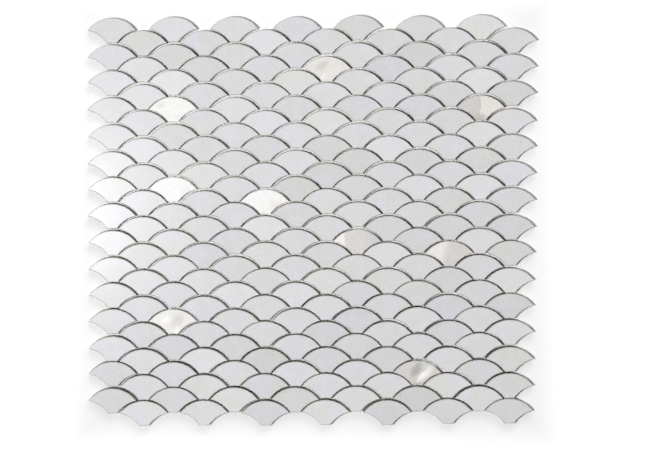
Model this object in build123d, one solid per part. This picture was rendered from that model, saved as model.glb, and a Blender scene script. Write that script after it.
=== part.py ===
from build123d import *
from math import atan2, ceil, cos, degrees, hypot, pi, sin, sqrt
import os
import random

os.makedirs("parts", exist_ok=True)

# A mosaic sheet of fan-shaped marble and shell chips, laid by hand on a glass-fibre net.
# It lies flat with its polished faces up. X runs along a row of fans, +Y is the way that
# the round tops of the fans point, and Z is the thickness. The origin is the middle of the
# back. All sizes are in millimetres.

# The pattern
pitch_across = 41.0  # from one fan to the next in its row
pitch_down = 17.75  # from one fan to the next straight below it
joint_width = 1.1  # open joint between neighbouring chips, left for grout
columns = 7  # fans in each row
row_pairs = 15  # a left row, and a right row half a pitch lower that nests in it

# The chips
chip_thickness = 9.5
flank_chords = 3  # straight cuts that make the arc of a fan's flank
crown_chords = 2  # straight cuts over the stretch of a round top that meets another's foot

# The net: weft yarns run across the backs of the chips, warp yarns lie under the weft
net_pitch = 5.0
yarn_width = 0.8
yarn_thickness = 0.25
net_setback = 1.5  # from a yarn's cut end to the outer edge of the chips

# Hand laying, as shares of the joint: how far a chip lies off its place, because it rests against
# one side of a loose pocket in the laying mould, how far a turn moves its side corners, and how
# far a row climbs from one fan to the next, because the net was laid slightly out of square.
# Together they never close a joint.
slip_share = 0.3
turn_share = 0.1
climb_share = 0.21

# Shell chips take the place of marble ones here: (row from the top, place from the left)
shell_places = [(4, 4), (7, 2), (7, 7), (13, 2), (14, 3), (17, 5), (18, 6), (23, 2), (27, 6)]

rows = 2 * row_pairs
half_row = pitch_down / 2

# The joint lines are arcs of one radius, at which the round tops in a row just touch. A chip
# stops half a joint inside its own line, and its hollows lie half a joint outside the lines
# of the three fans below it.
line_radius = pitch_across / 2
chip_radius = line_radius - joint_width / 2
hollow_radius = line_radius + joint_width / 2

# Two neighbours' lines cross at a fan's side corner, half way between their middles and then
# out along the perpendicular. Heights are above the middle of the fan's own circle.
middles_apart = hypot(line_radius, half_row)
to_crossing = sqrt(line_radius**2 - (middles_apart / 2) ** 2)
corner_x = line_radius / 2 + to_crossing * half_row / middles_apart
corner_height = to_crossing * line_radius / middles_apart - half_row / 2
foot_half = line_radius - corner_x
foot_height = corner_height - half_row

# The angles on a joint line at which its chords meet: from the side corner up the flank to the
# crown, and over the crown. The left side mirrors the right one.
corner_angle = atan2(corner_height, corner_x)
crown_angle = atan2(corner_height + half_row, foot_half)
flank_step = (crown_angle - corner_angle) / flank_chords
crown_step = (pi - 2 * crown_angle) / crown_chords
right_angles = [corner_angle + flank_step * step for step in range(flank_chords)]
crown_angles = [crown_angle + crown_step * step for step in range(crown_chords + 1)]
left_angles = [pi - angle for angle in reversed(right_angles)]
upper_angles = right_angles + crown_angles + left_angles
disc_angles = upper_angles + [angle + pi for angle in upper_angles]


def disc(radius, mode=Mode.ADD):
    """A round of chords. Its corners have the same angles at every radius, so that the chords of
    two neighbours run side by side and the joint between them keeps its width."""
    Polygon(*[(radius * cos(angle), radius * sin(angle)) for angle in disc_angles], align=None, mode=mode)


def fan_chip():
    """One chip over the middle of its own circle: a disc that the three fans below hollow out."""
    with BuildSketch() as outline:
        disc(chip_radius)
        with Locations((-line_radius, -half_row), (line_radius, -half_row), (0, -pitch_down)):
            disc(hollow_radius, mode=Mode.SUBTRACT)
    return extrude(outline.sketch, chip_thickness)


chip = fan_chip()
chip_box = chip.bounding_box()
turning_point = Vector(0, chip_box.center().Y)
chip_half = chip_box.size.X / 2

# From the first fan's circle to the last one's, and the first circle's middle, so that the
# sheet as a whole is centred on the origin
pattern_width = (columns - 1) * pitch_across + line_radius
pattern_depth = (row_pairs - 1) * pitch_down + half_row
first_x = -pattern_width / 2
first_y = pattern_depth / 2 - turning_point.Y
slant = climb_share * joint_width / pitch_across


def fan_middle(row, place):
    """The middle of a fan's circle. Odd rows are left rows and even rows are right rows."""
    along = (place - 1) * pitch_across
    if row % 2 == 0:
        along = along + line_radius
    down = (row - 1) * half_row
    x = first_x + along + slant * (pattern_depth / 2 - down)
    y = first_y - down + slant * (along - pattern_width / 2)
    return x, y


def laid_chip(row, place, laying):
    """A chip where a hand has put it: on its place, give or take a small slip and turn."""
    x, y = fan_middle(row, place)
    slip = slip_share * joint_width
    slip_way = laying.uniform(0, 2 * pi)
    x = x + slip * cos(slip_way)
    y = y + slip * sin(slip_way)
    most_turn = degrees(turn_share * joint_width / chip_half)
    turn = laying.uniform(-most_turn, most_turn)
    up_to_pivot = Pos(0, turning_point.Y)
    laid = Pos(x, y, 2 * yarn_thickness) * up_to_pivot * Rot(0, 0, turn) * up_to_pivot.inverse()
    return laid * chip


def line_height(x, lower_rows):
    """How far up the joint lines of these rows' fans reach at x, for the sheet's scalloped edges."""
    heights = []
    for row in lower_rows:
        for place in range(1, columns + 1):
            middle_x, middle_y = fan_middle(row, place)
            if abs(x - middle_x) < line_radius:
                heights.append(middle_y + sqrt(line_radius**2 - (x - middle_x) ** 2))
    return max(heights)


def half_width(height):
    """Half the width of a fan between its joint lines, at a height above its circle's middle."""
    if height > corner_height:
        return sqrt(line_radius**2 - height**2)
    return line_radius - sqrt(line_radius**2 - (height + half_row) ** 2)


def side_reach(y, first_row, place):
    """How far out the fans at one end of the left or the right rows reach at y, and their middle."""
    reaches = []
    for row in range(first_row, rows + 1, 2):
        middle_x, middle_y = fan_middle(row, place)
        if foot_height <= y - middle_y <= line_radius:
            reaches.append((half_width(y - middle_y), middle_x))
    return max(reaches)


def warp_yarn(x):
    """A yarn along Y under the weft, cut back from the scallops at both ends of the sheet."""
    edges = (x - yarn_width / 2, x + yarn_width / 2)
    top = min(line_height(edge, (1, 2)) for edge in edges) - net_setback
    bottom = max(line_height(edge, (rows + 1, rows + 2)) for edge in edges) + net_setback
    yarn = Box(yarn_width, top - bottom, yarn_thickness, align=(Align.CENTER, Align.MIN, Align.MIN))
    return Pos(x, bottom) * yarn


def weft_yarn(y):
    """A yarn along X on the backs of the chips, cut back from the wings of the end fans."""
    edges = (y - yarn_width / 2, y + yarn_width / 2)
    lefts = [side_reach(edge, 1, 1) for edge in edges]
    rights = [side_reach(edge, 2, columns) for edge in edges]
    left = max(middle_x - reach for reach, middle_x in lefts) + net_setback
    right = min(middle_x + reach for reach, middle_x in rights) - net_setback
    yarn = Box(right - left, yarn_width, yarn_thickness, align=(Align.MIN, Align.CENTER, Align.MIN))
    return Pos(left, y, yarn_thickness) * yarn


def yarn_places(lowest, highest):
    """Every whole net pitch from the origin that leaves a yarn's width inside both bounds."""
    first = ceil((lowest + yarn_width / 2) / net_pitch)
    places = []
    while (first + len(places)) * net_pitch + yarn_width / 2 <= highest:
        places.append((first + len(places)) * net_pitch)
    return places


def write_node(name, solids):
    """One STEP file: a single solid, or like solids that don't touch."""
    node = solids[0] if len(solids) == 1 else Compound(children=solids)
    node.label = name
    export_step(node, f"parts/{name}.step")


# The chips are laid row by row from the top, and from the left in each row
laying = random.Random("laid by hand")
shell_count = 0
for row in range(1, rows + 1):
    marble = []
    for place in range(1, columns + 1):
        laid = laid_chip(row, place, laying)
        if (row, place) in shell_places:
            shell_count = shell_count + 1
            write_node(f"shell_fan_{shell_count}", [laid])
        else:
            marble.append(laid)
    write_node(f"marble_fans_row_{row:02d}", marble)

# The net lies wherever whole yarns find chips over their full length: between the feet of the
# end fans along X, and between the scallops along Y
left_end = max(fan_middle(row, 1)[0] for row in (1, rows - 1)) - foot_half + net_setback
right_end = min(fan_middle(row, columns)[0] for row in (2, rows)) + foot_half - net_setback
lowest_corner = min(fan_middle(1, place)[1] for place in (1, columns)) + corner_height
highest_crown = max(fan_middle(rows + 1, place)[1] for place in (1, columns)) + line_radius
warp = [warp_yarn(x) for x in yarn_places(left_end, right_end)]
weft = [weft_yarn(y) for y in yarn_places(highest_crown + net_setback, lowest_corner - net_setback)]
write_node("net_warp_yarns", warp)
write_node("net_weft_yarns", weft)
print("warp yarns", len(warp), "weft yarns", len(weft))
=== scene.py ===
# %% [markdown]
# # A fan mosaic sheet of marble and mother-of-pearl
#
# The real object is a sheet of small stone chips, each cut to the shape of a fan, or fish scale.
# They are laid by hand, with open joints, on a glass-fibre net. A tiler later beds the whole sheet
# in adhesive. Most chips are pale marble. A few are shell, which shows soft bands of light.
#
# The chips' places and sizes come from a solid model of the sheet. This lesson gives every chip
# its eased edges and its stone, weaves the net, and lights and frames the sheet.

# %% Load the solid model
import bpy
import random
from math import cos, hypot, pi, radians, sin
from mathutils import Matrix, Vector


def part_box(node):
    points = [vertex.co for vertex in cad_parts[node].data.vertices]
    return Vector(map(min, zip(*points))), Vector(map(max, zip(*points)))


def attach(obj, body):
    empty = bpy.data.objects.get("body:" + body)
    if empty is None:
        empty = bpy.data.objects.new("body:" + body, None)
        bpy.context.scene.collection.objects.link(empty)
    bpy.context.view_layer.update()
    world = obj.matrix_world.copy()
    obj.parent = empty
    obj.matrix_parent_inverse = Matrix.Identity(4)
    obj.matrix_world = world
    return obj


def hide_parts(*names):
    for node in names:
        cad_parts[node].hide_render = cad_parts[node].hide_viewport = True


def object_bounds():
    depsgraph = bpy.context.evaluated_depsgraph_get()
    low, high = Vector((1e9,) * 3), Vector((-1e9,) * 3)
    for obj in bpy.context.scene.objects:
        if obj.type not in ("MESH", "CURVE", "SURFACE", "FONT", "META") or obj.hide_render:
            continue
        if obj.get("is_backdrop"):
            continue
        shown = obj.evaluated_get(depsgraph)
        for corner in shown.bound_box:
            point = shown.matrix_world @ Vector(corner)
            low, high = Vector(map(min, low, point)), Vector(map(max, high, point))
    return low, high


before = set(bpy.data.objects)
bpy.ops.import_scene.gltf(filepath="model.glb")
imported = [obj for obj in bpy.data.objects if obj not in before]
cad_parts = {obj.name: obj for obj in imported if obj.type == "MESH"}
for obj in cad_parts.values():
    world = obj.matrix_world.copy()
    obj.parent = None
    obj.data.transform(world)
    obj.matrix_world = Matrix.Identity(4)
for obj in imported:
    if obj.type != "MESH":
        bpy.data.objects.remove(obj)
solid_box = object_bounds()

low, high = solid_box
print("the solids lie between", [round(c, 4) for c in low], "and", [round(c, 4) for c in high])

# %% [markdown]
# ## The sizes of the pattern
#
# The model's own numbers are in metres here. A fan's outline is made of circles: its round top is
# one circle, and the three fans below it bite into it with circles that are wider by one joint.
# Every number that can be worked out from these few is worked out.

# %% Sizes of the pattern
MM = 0.001
pitch_across = 41.0 * MM
pitch_down = 17.75 * MM
joint_width = 1.1 * MM
columns = 7
rows = 30
net_thickness = 0.5 * MM
sheet_thickness = 10.0 * MM
shell_places = [(4, 4), (7, 2), (7, 7), (13, 2), (14, 3), (17, 5), (18, 6), (23, 2), (27, 6)]

half_row = pitch_down / 2
line_radius = pitch_across / 2
chip_radius = line_radius - joint_width / 2
hollow_radius = line_radius + joint_width / 2
chip_thickness = sheet_thickness - net_thickness
print("a chip's round top has a radius of", round(chip_radius / MM, 2), "mm")


# %% [markdown]
# ## Small helpers
#
# An operator works on everything that is selected, as the mouse does. So each step starts with
# nothing selected, and then picks exactly what it needs.

# %% Helpers for selecting
def deselect_all():
    bpy.ops.object.select_all(action="DESELECT")


def pick(*objects):
    """Selects these objects, the first one active."""
    deselect_all()
    for thing in objects:
        thing.select_set(True)
    bpy.context.view_layer.objects.active = objects[0]


def delete(*objects):
    pick(*objects)
    bpy.ops.object.delete()


def copy_of(thing):
    """A copy with its own mesh, left selected."""
    pick(thing)
    bpy.ops.object.duplicate()
    return bpy.context.object


def apply_place(thing):
    """Moves an object's place, turn and scale into its mesh."""
    pick(thing)
    bpy.ops.object.transform_apply(location=True, rotation=True, scale=True)


# %% [markdown]
# ## One chip
#
# A water jet cuts these chips from a slab, so the outline is exact and the walls are upright. The
# chip could be drawn point by point, but it is simpler to think like the pattern: a round disc,
# and three more discs that cut it away. A Boolean modifier makes each cut. All discs have the same
# number of sides, so the cut edges of two neighbours run side by side and the joint keeps its
# width.

# %% Model one chip
round_sides = 40


def disc(name, radius, x, y, depth):
    bpy.ops.mesh.primitive_cylinder_add(
        vertices=round_sides, radius=radius, depth=depth, end_fill_type="NGON",
        location=(x, y, net_thickness + chip_thickness / 2)
    )
    bpy.context.object.name = name
    return bpy.context.object


deselect_all()
chip = disc("chip", chip_radius, 0, 0, chip_thickness)
for x, y in [(-line_radius, -half_row), (line_radius, -half_row), (0, -pitch_down)]:
    cutter = disc("bite", hollow_radius, x, y, 2 * chip_thickness)
    bite = chip.modifiers.new("bite", "BOOLEAN")
    bite.operation = "DIFFERENCE"
    bite.solver = "EXACT"
    bite.object = cutter
    pick(chip)
    bpy.ops.object.modifier_apply(modifier=bite.name)
    delete(cutter)

apply_place(chip)
bpy.ops.object.mode_set(mode="EDIT")
bpy.ops.mesh.select_all(action="SELECT")
bpy.ops.mesh.remove_doubles(threshold=0.01 * MM)
bpy.ops.mesh.dissolve_limited(angle_limit=radians(1))
bpy.ops.mesh.normals_make_consistent(inside=False)
bpy.ops.object.mode_set(mode="OBJECT")
chip_low = min(v.co.y for v in chip.data.vertices)
chip_high = max(v.co.y for v in chip.data.vertices)
chip_half = max(v.co.x for v in chip.data.vertices)
print("a chip is", round(2 * chip_half / MM, 2), "by", round((chip_high - chip_low) / MM, 2), "mm")

# %% [markdown]
# A bevel works on the selected edges. By hand they would be clicked one by one. Here an edge is
# picked by a test on its two ends, such as whether both lie in the top face.

# %% Pick edges by their ends
def select_edges(thing, wanted):
    """Leaves the thing in edit mode with just the edges selected whose two ends pass the test."""
    pick(thing)
    bpy.ops.object.mode_set(mode="EDIT")
    bpy.ops.mesh.select_mode(type="EDGE")
    bpy.ops.mesh.select_all(action="DESELECT")
    bpy.ops.object.mode_set(mode="OBJECT")
    count = 0
    for edge in thing.data.edges:
        a, b = (thing.data.vertices[i].co for i in edge.vertices)
        edge.select = wanted(a, b)
        count = count + edge.select
    bpy.ops.object.mode_set(mode="EDIT")
    return count


# %% [markdown]
# The arrises of the polished face are eased with a quick pass of a rubbing block, and handling
# takes the point off the upright corners. Both are one-step bevels: the four corners first, then
# the whole rim. There are 210 chips, so the rim has few faces. Shading is smooth only along the
# curves: the rim stays crisp against the top, so that the polished face shades dead flat.

# %% Ease the corners and the rim
corner_ease = 0.35 * MM
rim_ease = 0.5 * MM
close = 0.02 * MM


def is_corner(point):
    at_side = abs(point.x) > chip_half - close
    at_foot = point.y < chip_low + close
    return at_side or at_foot


def is_upright_corner(a, b):
    return hypot(a.x - b.x, a.y - b.y) < close and is_corner(a)


def is_top_rim(a, b):
    return min(a.z, b.z) > sheet_thickness - close


print("upright corners eased:", select_edges(chip, is_upright_corner))
bpy.ops.mesh.bevel(offset=corner_ease, segments=1, affect="EDGES")
bpy.ops.object.mode_set(mode="OBJECT")
print("rim edges eased:", select_edges(chip, is_top_rim))
bpy.ops.mesh.bevel(offset=rim_ease, segments=1, affect="EDGES")
bpy.ops.object.mode_set(mode="OBJECT")
bpy.ops.object.shade_smooth_by_angle(angle=radians(30))
print("the chip has", len(chip.data.polygons), "faces")

# %% [markdown]
# A shell's bands have a place on their chip. The master chip stores where each of its points is,
# in millimetres from the chip's middle, and every copy inherits that. A colour attribute keeps no
# negative numbers, so the same shift is added to each, and the finish takes it off again.

# %% Store each point's place on the chip
pivot_y = (chip_low + chip_high) / 2
stored_shift = 20
on_chip = chip.data.color_attributes.new(name="on_chip", type="FLOAT_COLOR", domain="POINT")
for vertex, stored in zip(chip.data.vertices, on_chip.data):
    x = vertex.co.x / MM
    y = (vertex.co.y - pivot_y) / MM
    stored.color = (x + stored_shift, y + stored_shift, 0, 1)
print("the chip turns about a point", round(pivot_y / MM, 2), "mm above the middle of its circle")

# %% [markdown]
# ## Lay the sheet
#
# The first chip is copied to every place. A left row and a right row alternate, half a pitch
# apart. The laying mould has loose pockets, so each chip rests a hair off its place and slightly
# turned, and the rows climb a little to the right. All three are shares of the joint, so they
# never close it. The same seeded steps were used for the solids, so each copy lands on its own
# solid.

# %% Where a chip goes
slip_share = 0.3
turn_share = 0.1
climb_share = 0.21
laying = random.Random("laid by hand")
pattern_width = (columns - 1) * pitch_across + line_radius
pattern_depth = (rows / 2 - 1) * pitch_down + half_row
first_x = -pattern_width / 2
first_y = pattern_depth / 2 - pivot_y
slant = climb_share * joint_width / pitch_across


def fan_middle(row, place):
    """Where the middle of a fan's circle is, before the chip slips."""
    along = (place - 1) * pitch_across
    if row % 2 == 0:
        along = along + line_radius
    down = (row - 1) * half_row
    x = first_x + along + slant * (pattern_depth / 2 - down)
    y = first_y - down + slant * (along - pattern_width / 2)
    return x, y


def lay(row, place):
    """A copy of the chip, slipped, and turned about its middle."""
    x, y = fan_middle(row, place)
    slip = slip_share * joint_width
    slip_way = laying.uniform(0, 2 * pi)
    x = x + slip * cos(slip_way)
    y = y + slip * sin(slip_way)
    most_turn = turn_share * joint_width / chip_half
    turn = laying.uniform(-most_turn, most_turn)
    laid = copy_of(chip)
    laid.location = (x + pivot_y * sin(turn), y + pivot_y - pivot_y * cos(turn), 0)
    laid.rotation_euler = (0, 0, turn)
    apply_place(laid)
    return laid


# %% [markdown]
# Every chip comes from another spot of the slab. Two more attributes keep that in the mesh: `spot`
# moves and turns the stone's pattern from chip to chip, and `tone` says how warm the chip is, how
# light, and how much shade is painted on its walls. Most chips are near the middle of each, and few
# at its ends.

# %% Give each chip its own stone
stone_pick = random.Random("stone")


def mark(thing, name, value):
    layer = thing.data.color_attributes.new(name=name, type="FLOAT_COLOR", domain="POINT")
    for stored in layer.data:
        stored.color = (*value, 1)


def mark_stone(thing):
    mark(thing, "spot", [stone_pick.random() for _ in range(3)])
    mark(thing, "tone", [min(max(stone_pick.gauss(0.5, 0.15), 0), 1) for _ in range(3)])


# %% [markdown]
# One pass lays every chip, row by row from the top and from the left in each row. The marble chips
# of a row are joined, because they are one node of the solid model, and each shell chip stays on
# its own. The solid that a piece stands for is hidden, and the piece is tied to the sheet's body.

# %% Lay all the rows
marble_rows = []
shells = []
for row in range(1, rows + 1):
    marble_chips = []
    for place in range(1, columns + 1):
        laid = lay(row, place)
        mark_stone(laid)
        if (row, place) in shell_places:
            laid.name = f"shell_chip_{len(shells) + 1}"
            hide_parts(f"shell_fan_{len(shells) + 1}")
            shells.append(laid)
        else:
            marble_chips.append(laid)
    pick(*marble_chips)
    bpy.ops.object.join()
    joined = bpy.context.object
    joined.name = f"marble_chips_row_{row:02d}"
    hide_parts(f"marble_fans_row_{row:02d}")
    marble_rows.append(joined)
delete(chip)
for thing in shells:
    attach(thing, "root")
for thing in marble_rows:
    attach(thing, "root")
print("laid", len(marble_rows), "rows of marble chips and", len(shells), "shell chips")

# %% [markdown]
# The solids stay behind for collision, so the rounder chips have to stand exactly where they do.
# The box round each row of chips is compared with the box of its solids.

# %% Measure how far the copies are from their solids
worst = 0
for number, thing in enumerate(marble_rows, 1):
    low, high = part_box(f"marble_fans_row_{number:02d}")
    for axis in range(3):
        own = [v.co[axis] for v in thing.data.vertices]
        worst = max(worst, abs(min(own) - low[axis]), abs(max(own) - high[axis]))
print("the rows' boxes differ from their solids' by at most", round(worst / MM, 3), "mm")

# %% [markdown]
# ## The net
#
# The chips are glued to a net of coated glass fibre. It is a leno weave: the weft is one flat
# yarn, and the warp is a pair of thin strands. One strand passes over each weft yarn and its twin
# passes under it, and they twist half a turn between two weft yarns, which locks the crossing.
#
# A strand's path repeats after two meshes. So two meshes are drawn by extruding a small
# cross-section along the path, an Array modifier repeats them, and each yarn is cut to its own
# length.

# %% Sizes of the net
net_pitch = 5.0 * MM
net_middle = net_thickness / 2
strand_width = 0.36 * MM
strand_thickness = 0.14 * MM
strand_swing = 0.2 * MM
strand_lift = 0.16 * MM
steps_per_mesh = 4


def yarn_ends(node, across, along):
    """Where each yarn of the solid net begins and ends, by its whole number of pitches."""
    ends = {}
    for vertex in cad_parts[node].data.vertices:
        number = round(vertex.co[across] / net_pitch)
        here = vertex.co[along]
        low, high = ends.get(number, (here, here))
        ends[number] = (min(low, here), max(high, here))
    return ends


warp_ends = yarn_ends("net_warp_yarns", 0, 1)
weft_ends = yarn_ends("net_weft_yarns", 1, 0)
print(len(warp_ends), "warp yarns and", len(weft_ends), "weft yarns")


# %% [markdown]
# A strand is drawn as a hand would draw it: a ring of points stands upright across the path, is
# pulled along it, and is made wider or flatter at each stop. The Array's copies meet end to end,
# and their doubled points are merged, so the strand is one tube that is open at both ends.

# %% Draw a strand
def widen(along, sideways, upright, centre):
    """Scales what is selected, but not along the axis that the strand runs on."""
    grow = [sideways, sideways, upright]
    grow[along] = 1
    bpy.ops.transform.resize(value=grow, center_override=centre)


def drawn(name, sides, along, stations, repeats):
    """Pulls a ring through stations of (place, width, thickness), along X or Y (0 or 1)."""
    deselect_all()
    bpy.ops.mesh.primitive_circle_add(vertices=sides, radius=0.5, fill_type="NOTHING")
    strand = bpy.context.object
    strand.name = name
    strand.rotation_euler[1 - along] = pi / 2
    apply_place(strand)
    bpy.ops.object.mode_set(mode="EDIT")
    bpy.ops.mesh.select_all(action="SELECT")
    place, width, thickness = stations[0]
    widen(along, width, thickness, (0, 0, 0))
    bpy.ops.transform.translate(value=place)
    for next_place, next_width, next_thickness in stations[1:]:
        step = Vector(next_place) - Vector(place)
        bpy.ops.mesh.extrude_region_move(TRANSFORM_OT_translate={"value": step})
        widen(along, next_width / width, next_thickness / thickness, next_place)
        place, width, thickness = next_place, next_width, next_thickness
    bpy.ops.object.mode_set(mode="OBJECT")
    repeat = strand.modifiers.new("repeat", "ARRAY")
    repeat.use_relative_offset = False
    repeat.use_constant_offset = True
    repeat.constant_offset_displace = Vector(stations[-1][0]) - Vector(stations[0][0])
    repeat.count = repeats
    repeat.use_merge_vertices = True
    repeat.merge_threshold = 0.005 * MM
    bpy.ops.object.modifier_apply(modifier=repeat.name)
    return strand


# %% [markdown]
# Shears cut each yarn off where its solid ends, so none shows past the stone. Bisect cuts a mesh
# at a plane, drops what lies beyond it and fills the cut.

# %% Cut a yarn to its length
def cut_to(thing, along, low, high):
    """Cuts a yarn off square at both ends and closes the cuts."""
    pick(thing)
    bpy.ops.object.mode_set(mode="EDIT")
    for end, way in ((low, -1), (high, 1)):
        middle, outward = [0, 0, 0], [0, 0, 0]
        middle[along], outward[along] = end, way
        bpy.ops.mesh.select_all(action="SELECT")
        bpy.ops.mesh.bisect(plane_co=middle, plane_no=outward, use_fill=True, clear_outer=True)
    bpy.ops.mesh.select_all(action="SELECT")
    bpy.ops.mesh.normals_make_consistent(inside=False)
    bpy.ops.object.mode_set(mode="OBJECT")


# %% [markdown]
# A warp strand swings from side to side once in two meshes, and up and down twice as fast, so that
# it is on top wherever it crosses a weft yarn. Its twin is the same strand turned over about the
# net's middle. The pair is longer than the sheet, and every warp yarn is a copy of it that is cut
# to length.

# %% Weave the warp
warp_repeats = 28
warp_reach = warp_repeats * net_pitch
stations = []
for step in range(2 * steps_per_mesh + 1):
    half_turns = step / steps_per_mesh
    place = (
        strand_swing * cos(pi * half_turns),
        half_turns * net_pitch - warp_reach,
        net_middle + strand_lift * cos(2 * pi * half_turns),
    )
    stations.append((place, strand_width, strand_thickness))
strand_sides = 4
over = drawn("over", strand_sides, 1, stations, warp_repeats)
under = copy_of(over)
bpy.ops.object.mode_set(mode="EDIT")
bpy.ops.mesh.select_all(action="SELECT")
bpy.ops.transform.rotate(value=pi, orient_axis="Y", center_override=(0, 0, net_middle))
bpy.ops.object.mode_set(mode="OBJECT")
pick(over, under)
bpy.ops.object.join()
warp_pair = bpy.context.object
print("a pair of warp strands has", len(warp_pair.data.polygons), "faces before it is cut")

warp_yarns = []
for number, (low, high) in warp_ends.items():
    yarn = copy_of(warp_pair)
    yarn.location = (number * net_pitch, 0, 0)
    apply_place(yarn)
    cut_to(yarn, 1, low, high)
    warp_yarns.append(yarn)
delete(warp_pair)
pick(*warp_yarns)
bpy.ops.object.join()
warp = bpy.context.object
warp.name = "net_warp"

# %% [markdown]
# The weft is one flat yarn. The warp pairs grip it and pinch it narrower where they cross it, and
# it spreads to its full width between them.

# %% Weave the weft
weft_width = 0.8 * MM
weft_pinch = 0.62
weft_thickness = 0.16 * MM
weft_repeats = 60
weft_reach = weft_repeats / 2 * net_pitch
stations = []
for step in range(3):
    width = weft_width * (1 if step % 2 else weft_pinch)
    stations.append(((step * net_pitch / 2 - weft_reach, 0, net_middle), width, weft_thickness))
weft_sides = 6
weft_yarn = drawn("weft_yarn", weft_sides, 0, stations, weft_repeats)
weft_yarns = []
for number, (low, high) in weft_ends.items():
    yarn = copy_of(weft_yarn)
    yarn.location = (0, number * net_pitch, 0)
    apply_place(yarn)
    cut_to(yarn, 0, low, high)
    weft_yarns.append(yarn)
delete(weft_yarn)
pick(*weft_yarns)
bpy.ops.object.join()
weft = bpy.context.object
weft.name = "net_weft"
print("wove", len(warp_yarns), "warp yarns and", len(weft_yarns), "weft yarns")

# %% [markdown]
# The warp is one piece and the weft another, and each takes the place of its solids. The shading is
# smooth round a strand, and stays crisp where the shears cut it.

# %% Put the net in the place of its solids
for thing, node in ((warp, "net_warp_yarns"), (weft, "net_weft_yarns")):
    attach(thing, "root")
    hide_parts(node)
    pick(thing)
    bpy.ops.object.shade_smooth_by_angle(angle=radians(80))
    heights = [v.co.z / MM for v in thing.data.vertices]
    print(thing.name, "has", len(thing.data.polygons), "faces")
    print("  and lies between", round(min(heights), 3), "and", round(max(heights), 3), "mm")


# %% [markdown]
# ## Helpers for materials
#
# A material is a chain of small steps, each a node. These helpers add a node, set its numbers and
# connect it, so that each finish below reads as a short recipe.

# %% Add a node and connect it
def new_material(name):
    material = bpy.data.materials.new(name)
    material.use_nodes = True
    return material


def feed(material, socket, value):
    """Sets a socket to a number, or connects it to another node's output."""
    if isinstance(value, bpy.types.NodeSocket):
        material.node_tree.links.new(value, socket)
    else:
        socket.default_value = value


def add(material, kind, out=0, settings=None, **inputs):
    """Adds a node and gives back one of its outputs. Settings are its menus. Inputs are its
    sockets, by name, or as _0, _1 and so on where several share a name."""
    node = material.node_tree.nodes.new(kind)
    for name, value in (settings or {}).items():
        setattr(node, name, value)
    for name, value in inputs.items():
        socket = node.inputs[int(name[1:])] if name[0] == "_" else node.inputs[name]
        feed(material, socket, value)
    return node.outputs[out]


def attribute(material, name):
    """What each point of the mesh has stored under this name."""
    node = material.node_tree.nodes.new("ShaderNodeAttribute")
    node.attribute_name = name
    return node.outputs["Vector"]


def part_of(material, vector, axis):
    return add(material, "ShaderNodeSeparateXYZ", "XYZ".index(axis), Vector=vector)


def dress(material, *things):
    for thing in things:
        thing.data.materials.clear()
        thing.data.materials.append(material)


# %% [markdown]
# Most of a recipe is sums. Noise is made stronger or weaker, moved and turned, and it blends two
# numbers or two colours.

# %% Sums, noise and blends
def calc(material, operation, a, b=0.0, c=0.0):
    """A sum on plain numbers, such as ADD or MULTIPLY."""
    return add(material, "ShaderNodeMath", settings={"operation": operation}, _0=a, _1=b, _2=c)


def around(material, middle, spread, value):
    """Varies a number by half of spread to each side of the middle, as the value goes 0 to 1."""
    return calc(material, "MULTIPLY_ADD", calc(material, "SUBTRACT", value, 0.5), spread, middle)


def vector_math(material, operation, a, b=(0, 0, 0), out="Vector"):
    """A sum on places or colours, three numbers at a time."""
    return add(material, "ShaderNodeVectorMath", out, {"operation": operation}, _0=a, _1=b)


def turned_about_z(material, where, angle):
    return add(
        material, "ShaderNodeVectorRotate", 0, {"rotation_type": "Z_AXIS"},
        Vector=where, Angle=angle
    )


def noise(material, where, size, detail=2.0, distortion=0.0, out="Fac"):
    """Noise from 0 to 1 whose patches are about this far across."""
    return add(
        material, "ShaderNodeTexNoise", out, Vector=where, Scale=1 / size, Detail=detail,
        Distortion=distortion
    )


def smooth_step(material, value, low, high, most=1.0):
    """0 up to low, the most from high on, and a soft rise between them."""
    return add(
        material, "ShaderNodeMapRange", 0, {"interpolation_type": "SMOOTHSTEP"},
        _0=value, _1=low, _2=high, _4=most
    )


def blend_numbers(material, factor, a, b):
    return add(material, "ShaderNodeMix", 0, _0=factor, _2=a, _3=b)


def blend_colours(material, factor, a, b):
    return add(material, "ShaderNodeMix", 2, {"data_type": "RGBA"}, _0=factor, _6=a, _7=b)
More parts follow.
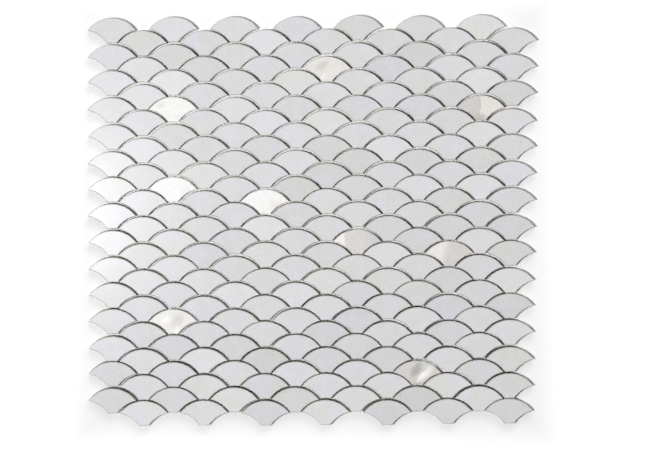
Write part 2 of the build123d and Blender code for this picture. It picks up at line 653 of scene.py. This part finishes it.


# %% [markdown]
# ## Marble
#
# Pale marble isn't one white. Chips from one slab range from a cool, faintly lilac white to a
# warm, creamy grey, and each has soft clouds inside it. Close up it is a mass of fine crystals.
# The top is polished, and its polish isn't dead flat, so reflections differ a little from chip to
# chip. The walls are as the water jet left them: matt, with fine upright lines. Their colour has
# painted shade: darker and warmer than the stone, in patches and more on some chips than others, as
# the deep joints look with warm light bounced between their walls. The rim has a lighter painted
# shade, and the back is sawn.
#
# Noise on Object coordinates makes the clouds and the crystals. The `spot` attribute turns and
# shifts it for each chip, so no cloud runs on into a neighbour, and `tone` shifts its warmth, its
# lightness and the painted shade on its walls. How far a face looks up says whether it is top, rim,
# wall or back.

# %% Marble's colour
marble = new_material("marble")
coordinates = add(marble, "ShaderNodeTexCoord", "Object")
spot = attribute(marble, "spot")
tone = attribute(marble, "tone")
slab_turn = calc(marble, "MULTIPLY", part_of(marble, spot, "X"), 2 * pi)
in_slab = vector_math(marble, "ADD", turned_about_z(marble, coordinates, slab_turn), spot)
cloud_size, blotch_size, crystal_size = 14 * MM, 6 * MM, 1.3 * MM
elsewhere = vector_math(marble, "ADD", in_slab, (3, 5, 7))
clouds = noise(marble, in_slab, cloud_size, detail=3, distortion=0.4)
blotches = noise(marble, elsewhere, blotch_size, detail=3)
crystals = noise(marble, in_slab, crystal_size)
lightness = around(marble, 1.0, 0.24, part_of(marble, tone, "Y"))
lightness = around(marble, lightness, 0.10, blotches)
lightness = around(marble, lightness, 0.18, crystals)
warmth = around(marble, 0.52, 0.38, part_of(marble, tone, "X"))
warmth = around(marble, warmth, 1.3, clouds)
cool_white = (0.680, 0.685, 0.757, 1)
warm_white = (0.668, 0.658, 0.615, 1)
stone_colour = blend_colours(marble, warmth, cool_white, warm_white)
stone_colour = vector_math(marble, "MULTIPLY", stone_colour, lightness)
print("the clean stone runs from", cool_white[:3], "to", warm_white[:3])

# %% [markdown]
# The same stone looks different on each face of a chip. So the next cell asks how far each point's
# face looks up: 1 on the top, 0.7 on the rim, 0 on a wall and -1 on the back. The walls and the rim
# get darker colours made from the clean stone, which are painted shade, and the sawn back gets a
# darker colour of its own.

# %% Marble's rim, walls and back
facing_up = part_of(marble, add(marble, "ShaderNodeTexCoord", "Normal"), "Z")
polished = smooth_step(marble, facing_up, 0.75, 0.95)
# This mask picks the rim, which gets a painted shade a little lighter than the walls'.
on_rim = smooth_step(marble, facing_up, 0.3, 0.6)
sawn = smooth_step(marble, facing_up, -0.3, -0.6)

# Painted shade: the walls are darker and warmer than the stone, in patches and by chip, so that the
# joints look deep and shaded.
shade_patch_size = 8 * MM
wall_shade_tint = (1.0, 0.97, 0.87)
rim_shade_tint = (0.88, 0.86, 0.81)
back_tint = (0.93, 0.92, 0.89)
# These patches and each chip's own amount darken its walls unevenly, as painted shade.
shade_patches = smooth_step(marble, noise(marble, in_slab, shade_patch_size, detail=3), 0.35, 0.65)
wall_shade_amount = around(marble, 0.73, 1.1, part_of(marble, tone, "Z"))
wall_shade_amount = calc(marble, "MULTIPLY", wall_shade_amount, blend_numbers(marble, shade_patches, 1.0, 0.78))
wall_colour = vector_math(marble, "MULTIPLY", stone_colour, wall_shade_tint)
wall_colour = vector_math(marble, "MULTIPLY", wall_colour, wall_shade_amount)
# The rim is darkened by painted shade, which widens the dark band along each joint.
rim_colour = vector_math(marble, "MULTIPLY", stone_colour, rim_shade_tint)
back_colour = vector_math(marble, "MULTIPLY", stone_colour, back_tint)
colour = blend_colours(marble, sawn, wall_colour, back_colour)
colour = blend_colours(marble, on_rim, colour, rim_colour)
colour = blend_colours(marble, polished, colour, stone_colour)
print("a wall's tint is", wall_shade_tint, "and the rim's", rim_shade_tint)

# %% [markdown]
# The polish is glossy, with a slow wave in it that bends reflections a little. The cut faces are
# matt. The jet's fine upright lines are noise that is stretched along Z. Relief this fine is bump,
# which tilts the shading and leaves the mesh alone.

# %% Marble's polish and its cut lines
wave_size, wave_height = 22 * MM, 0.03 * MM
line_size, line_depth = 0.5 * MM, 0.04 * MM
wall_roughness = 0.6
gloss = around(marble, 0.15, 0.06, blotches)
waves = noise(marble, in_slab, wave_size, detail=1)
stretched = vector_math(marble, "MULTIPLY", coordinates, (1, 1, 0.08))
cut_lines = noise(marble, stretched, line_size)
relief = blend_numbers(marble, polished, cut_lines, waves)
relief_height = blend_numbers(marble, polished, line_depth, wave_height)
relief = add(marble, "ShaderNodeBump", Height=relief, Distance=relief_height)
shader = marble.node_tree.nodes["Principled BSDF"]
feed(marble, shader.inputs["Base Color"], colour)
feed(marble, shader.inputs["Roughness"], blend_numbers(marble, polished, wall_roughness, gloss))
feed(marble, shader.inputs["Normal"], relief)
dress(marble, *marble_rows)
print("the marble takes", len(marble.node_tree.nodes), "nodes")

# %% [markdown]
# ## Mother-of-pearl
#
# Shell is built of thin layers, and a cut chip shows them as soft bands and patches, each a little
# lighter or greyer as its layers tilt to the light. That lighter and greyer is painted here: the
# patches are the layers' own pattern with a painted sheen and shade. No two chips are alike, so
# each
# gets a short list of its own features: a soft patch, or one side of a line. A point's place on its
# chip, bent by a little noise, decides where they are. Their colours are written as a picture shows
# them, and `seen` turns them into the plain light that a shader works with.

# %% A recipe for a shell chip
def seen(red, green, blue):
    """Turns a colour as a picture shows it, 0 to 255, into plain light, 0 to 1."""
    return tuple(((c / 255 + 0.055) / 1.055) ** 2.4 for c in (red, green, blue)) + (1,)


def patch(material, place, x, y, turn, wide, high):
    """1 in the middle of a turned oval, and softly 0 outside it."""
    from_middle = vector_math(material, "SUBTRACT", place, (x, y, 0))
    upright = turned_about_z(material, from_middle, -radians(turn))
    squeezed = vector_math(material, "MULTIPLY", upright, (1 / wide, 1 / high, 0))
    distance = vector_math(material, "LENGTH", squeezed, out="Value")
    return smooth_step(material, distance, 1.0, 0.2)


def beyond(material, place, x, y, turn, soft):
    """0 on the near side of a line through x, y and 1 on the side that the turn points to."""
    way = (cos(radians(turn)), sin(radians(turn)), 0)
    from_line = vector_math(material, "SUBTRACT", place, (x, y, 0))
    ahead = vector_math(material, "DOT_PRODUCT", from_line, way, out="Value")
    return smooth_step(material, ahead, -soft / 2, soft / 2)


def drawn_on(material, place, ground, features):
    """The ground colour of a chip with its features laid over it."""
    colour = seen(*ground)
    for shape, numbers, feature_colour in features:
        here = shape(material, place, *numbers)
        colour = blend_colours(material, here, colour, seen(*feature_colour))
    return colour


# %% [markdown]
# Over its features each chip has a mottling, a fine grain, the faint lines of its layers, and a
# painted shimmer between a rosy and a greenish white, which stands for the shell's iridescent
# sheen.
# Their sizes are in millimetres. A thin clear coat gives the wet gloss of polished shell.

# %% The finish of a shell chip
drift_size, drift_reach = 6.25, 3
mottling_size, grain_size, hue_size = 2.5, 0.9, 5.0
# A rosy and a greenish white for the painted iridescent sheen.
rosy_white = (1, 0.98, 0.975, 1)
green_white = (0.98, 0.99, 0.99, 1)


def shell_finish(number, ground, features, layer_turn):
    material = new_material(f"mother_of_pearl_{number}")
    place = attribute(material, "on_chip")
    place = vector_math(material, "SUBTRACT", place, (stored_shift, stored_shift, 0))
    own_place = vector_math(material, "ADD", place, attribute(material, "spot"))
    drift = noise(material, own_place, drift_size, out="Color")
    drift = vector_math(material, "SUBTRACT", drift, (0.5, 0.5, 0.5))
    drift = vector_math(material, "MULTIPLY", drift, (drift_reach, drift_reach, 0))
    bent = vector_math(material, "ADD", place, drift)
    colour = drawn_on(material, bent, ground, features)

    mottling = noise(material, own_place, mottling_size, detail=3)
    grain = noise(material, place, grain_size, detail=1)
    layers = add(
        material, "ShaderNodeTexWave", "Fac", {"wave_type": "BANDS"}, Scale=0.35, Distortion=2.5,
        Detail=2, Vector=turned_about_z(material, bent, radians(layer_turn))
    )
    lightness = around(material, 1.0, 0.20, mottling)
    lightness = around(material, lightness, 0.14, grain)
    lightness = around(material, lightness, 0.03, layers)
    elsewhere = vector_math(material, "ADD", bent, (40, 0, 0))
    # Painted sheen: the hue drifts between the two whites.
    hue = smooth_step(material, noise(material, elsewhere, hue_size, detail=1), 0.35, 0.65)
    shimmer = blend_colours(material, hue, rosy_white, green_white)
    colour = vector_math(material, "MULTIPLY", colour, shimmer)
    colour = vector_math(material, "MULTIPLY", colour, lightness)

    shader = material.node_tree.nodes["Principled BSDF"]
    relief = add(material, "ShaderNodeBump", Height=mottling, Distance=0.02 * MM)
    feed(material, shader.inputs["Base Color"], colour)
    feed(material, shader.inputs["Roughness"], around(material, 0.2, 0.1, mottling))
    feed(material, shader.inputs["Normal"], relief)
    shader.inputs["Coat Weight"].default_value = 0.25
    shader.inputs["Coat Roughness"].default_value = 0.08
    return material


# %% [markdown]
# The chips, in the order in which they were laid. Each has its ground colour, its features and the
# turn of its layers in degrees. A feature is a shape, its place, turn and size in millimetres on
# the chip, and its colour. All of them were set one chip at a time.

# %% The nine shell chips
# The lighter and greyer features below are the layers' pattern with painted sheen and shade.
shell_looks = [
    ((227, 225, 220), [
        (patch, (-3, 2.4, 33, 8, 3.2), (208, 206, 202)),
        (patch, (-2.3, -4.8, 35, 3.5, 2.2), (242, 241, 238)),
    ], 120),
    ((239, 239, 237), [
        (patch, (-8, 3.2, 20, 5, 3), (226, 225, 223)),
        (patch, (3, -5, 0, 4, 3), (233, 232, 229)),
    ], 20),
    ((227, 225, 219), [
        (beyond, (0, 0, 180, 1.2), (206, 204, 201)),
        (patch, (-0.5, -7, 0, 7, 5), (192, 190, 185)),
        (patch, (-0.5, 3, 90, 6, 0.5), (194, 192, 188)),
    ], 0),
    ((241, 241, 241), [
        (patch, (9, -1, 0, 5, 6), (235, 235, 234)),
    ], 70),
    ((243, 243, 242), [
        (patch, (7, -2, 0, 7, 5), (232, 231, 226)),
        (patch, (0, -7, 0, 4, 3), (238, 237, 232)),
    ], 40),
    ((215, 212, 208), [
        (beyond, (-8.4, 0, 180, 0.4), (241, 240, 238)),
        (beyond, (6, 0, 0, 8), (206, 207, 206)),
    ], 0),
    ((212, 209, 205), [
        (beyond, (-3.2, 0, 165, 6.5), (233, 231, 228)),
    ], 10),
    ((235, 234, 230), [
        (patch, (3, 1, 60, 8, 6), (216, 214, 209)),
        (patch, (-5, 1.5, 20, 5, 3), (246, 246, 244)),
        (patch, (2.5, -6, 60, 4, 2), (246, 246, 244)),
    ], 60),
    ((212, 210, 206), [
        (patch, (-0.8, 2.4, 55, 9, 4), (176, 175, 170)),
        (patch, (8, 1.5, 60, 7, 4), (232, 230, 227)),
        (patch, (4.2, -1.3, 52, 8, 2.8), (249, 248, 246)),
        (patch, (0, -7, 5, 6, 1.4), (184, 183, 178)),
    ], 140),
]
for number, (thing, look) in enumerate(zip(shells, shell_looks), 1):
    dress(shell_finish(number, *look), thing)
print("shell finishes made:", len(shell_looks))

# %% [markdown]
# ## Glass fibre
#
# The net is white glass fibre in a soft coating. A strand is a bundle of hair-fine fibres, far too
# many to model. Noise that is stretched along the strand stands for them, in colour, gloss and
# relief. Warp and weft run across each other, so each has its own direction.

# %% Glass fibre
fibre_shade = (0.70, 0.69, 0.64, 1)
fibre_white = (0.86, 0.86, 0.84, 1)
fibre_size, fibre_relief = 0.06 * MM, 0.03 * MM


def fibre_finish(name, across):
    material = new_material(name)
    coordinates = add(material, "ShaderNodeTexCoord", "Object")
    stretch = [0.04, 0.04, 1]
    stretch[across] = 1
    stretched = vector_math(material, "MULTIPLY", coordinates, stretch)
    fibres = noise(material, stretched, fibre_size)
    colour = blend_colours(material, fibres, fibre_shade, fibre_white)
    relief = add(material, "ShaderNodeBump", Height=fibres, Distance=fibre_relief)
    shader = material.node_tree.nodes["Principled BSDF"]
    feed(material, shader.inputs["Base Color"], colour)
    feed(material, shader.inputs["Roughness"], around(material, 0.45, 0.2, fibres))
    feed(material, shader.inputs["Normal"], relief)
    return material


dress(fibre_finish("glass_fibre_warp", 0), warp)
dress(fibre_finish("glass_fibre_weft", 1), weft)
print("glass fibre on", warp.name, "and", weft.name)

# %% [markdown]
# ## A white surround
#
# In the photo all around the sheet is pure white. More light on white paper would do that too, but
# it would bleach the marble. A Light Path node tells what kind of ray asks for a surface's colour.
# So the surround is made bright just for the rays that look at it, and it lights nothing.

# %% Which rays look
def looked_at(material):
    """1 for rays from the camera, off a mirror or through glass, and 0 for the light on things."""
    kinds = ("Is Camera Ray", "Is Glossy Ray", "Is Transmission Ray")
    rays = [add(material, "ShaderNodeLightPath", kind) for kind in kinds]
    return calc(material, "MAXIMUM", calc(material, "MAXIMUM", rays[0], rays[1]), rays[2])


# %% [markdown]
# ## Floor
#
# The sheet lies on white paper. The paper glows a little, outwards from the sheet's edge, and more
# so far away, where the lamps hardly reach. Under the sheet it doesn't glow, and close to it only
# faintly, so the sheet's soft shadow is kept.

# %% Floor
deselect_all()
bpy.ops.mesh.primitive_plane_add(size=6, location=(0, 0, 0))
floor = bpy.context.object
floor.name = "floor"
paper = new_material("white_paper")
shader = paper.node_tree.nodes["Principled BSDF"]
shader.inputs["Base Color"].default_value = (0.9, 0.9, 0.9, 1)
shader.inputs["Roughness"].default_value = 0.9
shader.inputs["Specular IOR Level"].default_value = 0.0
floor_place = add(paper, "ShaderNodeTexCoord", "Object")
outwards = []
for axis, edge in (("X", solid_box[1][0]), ("Y", solid_box[1][1])):
    from_middle = calc(paper, "ABSOLUTE", part_of(paper, floor_place, axis))
    outwards.append(calc(paper, "SUBTRACT", from_middle, edge))
away = calc(paper, "MAXIMUM", *outwards)
near_glow = smooth_step(paper, away, -10 * MM, 40 * MM, 0.35)
far_glow = smooth_step(paper, away, 100 * MM, 1500 * MM, 0.6)
glow = calc(paper, "ADD", near_glow, far_glow)
glow = calc(paper, "MULTIPLY", glow, looked_at(paper))
shader.inputs["Emission Color"].default_value = (1, 1, 1, 1)
feed(paper, shader.inputs["Emission Strength"], glow)
dress(paper, floor)
floor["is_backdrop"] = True
print("the floor is", round(floor.dimensions.x, 1), "m wide")

# %% [markdown]
# ## Camera
#
# The photo was taken from almost straight above, with a long lens. The pattern itself is the
# ruler: the fans' pitch in pixels gives the scale, the slope of the rows gives the roll, and the
# way the pattern shrinks away from the camera gives its lean. `sheet_middle_px` is where the
# middle of the sheet falls in the picture, in pixels from its top left corner. The camera is aimed
# at the point that falls in the middle of the picture, so it needs no lens shift.

# %% Camera
photo_width, photo_height = 650, 450
photo_pitch = 61.36
camera_distance = 1.5
metres_per_pixel = pitch_across / photo_pitch
sheet_middle_px = (311.3, 222.0)
sensor_width = 36
lean_back, lean_right, roll = radians(4.3), radians(0.7), radians(-0.14)
bpy.ops.object.camera_add()
camera = bpy.context.object
camera.name = "camera"
camera.data.sensor_width = sensor_width
camera.data.lens = sensor_width * camera_distance / (photo_width * metres_per_pixel)
aim = Vector((
    (photo_width / 2 - sheet_middle_px[0]) * metres_per_pixel,
    (sheet_middle_px[1] - photo_height / 2) * metres_per_pixel,
    sheet_thickness,
))
lean = Matrix.Rotation(lean_right, 4, "Y") @ Matrix.Rotation(-lean_back, 4, "X")
turn = lean @ Matrix.Rotation(roll, 4, "Z")
camera.matrix_world = Matrix.Translation(aim + turn @ Vector((0, 0, camera_distance))) @ turn
bpy.context.scene.camera = camera
print("the lens is", round(camera.data.lens), "mm long")
print("a pixel shows", round(metres_per_pixel / MM, 3), "mm of the sheet")

# %% [markdown]
# ## Light
#
# The photo tells how it was lit. The sheet throws hardly any shadow on the paper, and the floors
# of the joints are brighter than their walls, so the main lamp is small and almost overhead, a
# little to the left. The joints grow darker towards the foot and the sides of the sheet, so that
# lamp is near. A softbox at the head of the sheet fills in. Polished stone would mirror the main
# lamp as a hard white spot, which a photographer takes away with a polarising filter. Here the
# lamp is hidden from glossy rays. What is left of its glare is a soft bright patch on the left
# edge, which a faint, far lamp of its own makes.
#
# The studio around the sheet is white where the camera or a reflection sees it. Otherwise it is
# almost dark, so that the lamps do the lighting.

# %% Light
world = bpy.data.worlds.new("studio")
world.use_nodes = True
dim, white = 0.05, 1.0
studio_walls = world.node_tree.nodes["Background"]
studio_walls.inputs["Color"].default_value = (1, 1, 1, 1)
feed(world, studio_walls.inputs["Strength"], blend_numbers(world, looked_at(world), dim, white))
bpy.context.scene.world = world


def round_lamp(name, x, y, z, size, power):
    """A round lamp that is aimed at the middle of the sheet, with its power in watts."""
    bpy.ops.object.light_add(type="AREA", location=(x, y, z))
    light = bpy.context.object
    light.name = name
    light.data.shape = "DISK"
    light.data.size = size
    light.data.energy = power
    light.rotation_euler = (-Vector((x, y, z))).to_track_quat("-Z", "Y").to_euler()
    return light


def distant_lamp(name, slope_x, slope_y, power):
    """A small, far lamp, almost overhead: it stands this far to the side for each metre up."""
    bpy.ops.object.light_add(type="SUN", location=(slope_x, slope_y, 1))
    light = bpy.context.object
    light.name = name
    light.data.energy = power
    light.data.angle = radians(3)
    light.rotation_euler = Vector((-slope_x, -slope_y, -1)).to_track_quat("-Z", "Y").to_euler()


key = round_lamp("key_light", x=-0.18, y=0.05, z=1.5, size=0.08, power=17.2)
key.visible_glossy = False
round_lamp("fill_light", x=0.20, y=0.85, z=1.35, size=0.8, power=5.5)
distant_lamp("glare", slope_x=-0.135, slope_y=-0.070, power=0.08)
print("the main lamp has", round(key.data.energy, 1), "W")

# %% [markdown]
# ## Settings and sizes
#
# The Standard view shows each colour as it was written. The box of the finished sheet is kept
# beside the box of the solids, because the dressed sheet may not be larger than they are.

# %% Settings and sizes
bpy.context.scene.view_settings.view_transform = "Standard"
shown_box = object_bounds()
low, high = shown_box
print("the finished sheet is", [round((b - a) / MM, 1) for a, b in zip(low, high)], "mm")
